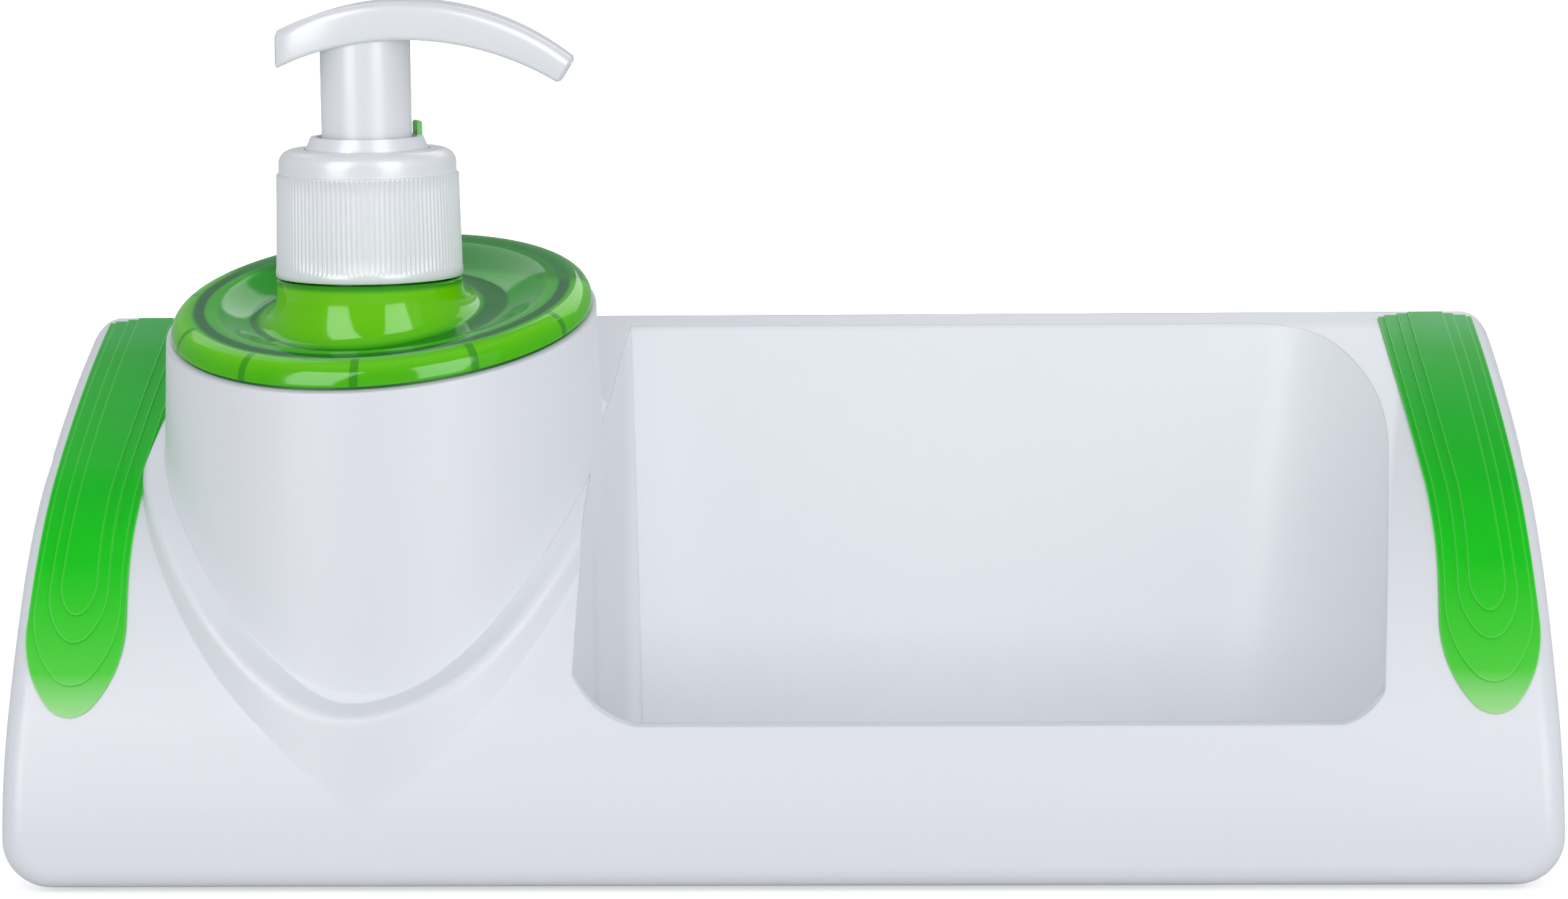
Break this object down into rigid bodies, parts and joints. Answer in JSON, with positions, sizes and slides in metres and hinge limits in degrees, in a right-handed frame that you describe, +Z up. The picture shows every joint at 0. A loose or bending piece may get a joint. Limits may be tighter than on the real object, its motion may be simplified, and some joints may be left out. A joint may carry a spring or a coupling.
{
  "type": "soap pump caddy",
  "caption": "Moulded vanity caddy with a soap tower closed by a translucent lid carrying a hand pump, an open sponge bin beside it and a soft grip strip at each side.",
  "frame": {"origin": "centre of the bounding box's bottom face, on the surface the feet stand on", "axes": "+Z up, the open front of the sponge bin faces -Y, the sponge bin is towards +X and the pump towards -X"},
  "size_m": [0.2568, 0.0928, 0.1443],
  "materials": {
    "white_body": "glossy injection-moulded plastic, slightly bluish white",
    "white_base": "satin moulded plastic",
    "foot_rubber": "soft dark rubber",
    "strip_green": "soft translucent green grip, satin",
    "lid_green": "glossy translucent green plastic",
    "seal_green": "dark green soft seal",
    "pump_white": "glossy white plastic",
    "guide_white": "white plastic",
    "gasket_grey": "soft pale grey foam",
    "tab_green": "small green plastic tab",
    "housing_natural": "natural milky plastic",
    "tube_clear": "milky plastic tube",
    "ball_steel": "polished steel",
    "spring_steel": "drawn steel wire",
    "stem_white": "white plastic",
    "piston_natural": "natural soft plastic"
  },
  "bodies": {
    "caddy": {"caddy_shell": "white_body", "base_plate": "white_base", "rubber_foot_1": "foot_rubber", "rubber_foot_2": "foot_rubber", "rubber_foot_3": "foot_rubber", "rubber_foot_4": "foot_rubber", "grip_strip_left": "strip_green", "grip_strip_right": "strip_green"},
    "lid": {"lid_cover": "lid_green", "lid_seal": "seal_green", "pump_housing": "housing_natural", "housing_gasket": "gasket_grey", "dip_tube": "tube_clear", "guide_ring": "guide_white", "lock_tab": "tab_green", "inlet_ball": "ball_steel", "return_spring": "spring_steel"},
    "collar": {"pump_collar": "pump_white"},
    "plunger": {"plunger_stem": "stem_white", "piston_seal": "piston_natural", "outlet_ball": "ball_steel"},
    "head": {"pump_head": "pump_white"}
  },
  "joints": [
    {"name": "lid_lift", "type": "slide", "parent": "caddy", "child": "lid", "axis": [0, 0, 1], "range_m": [0, 0.1]},
    {"name": "collar_turn", "type": "hinge", "parent": "lid", "child": "collar", "pos_m": [-0.07065, 0, 0.105], "axis": [0, 0, 1], "range_deg": [0, 540]},
    {"name": "pump_press", "type": "slide", "parent": "lid", "child": "plunger", "axis": [0, 0, -1], "range_m": [0, 0.011], "stiffness_N_per_m": 500, "springref_m": -0.01, "deforming": ["return_spring"]},
    {"name": "head_swivel", "type": "hinge", "parent": "plunger", "child": "head", "pos_m": [-0.07065, 0, 0.135], "axis": [0, 0, 1], "continuous": true}
  ]
}
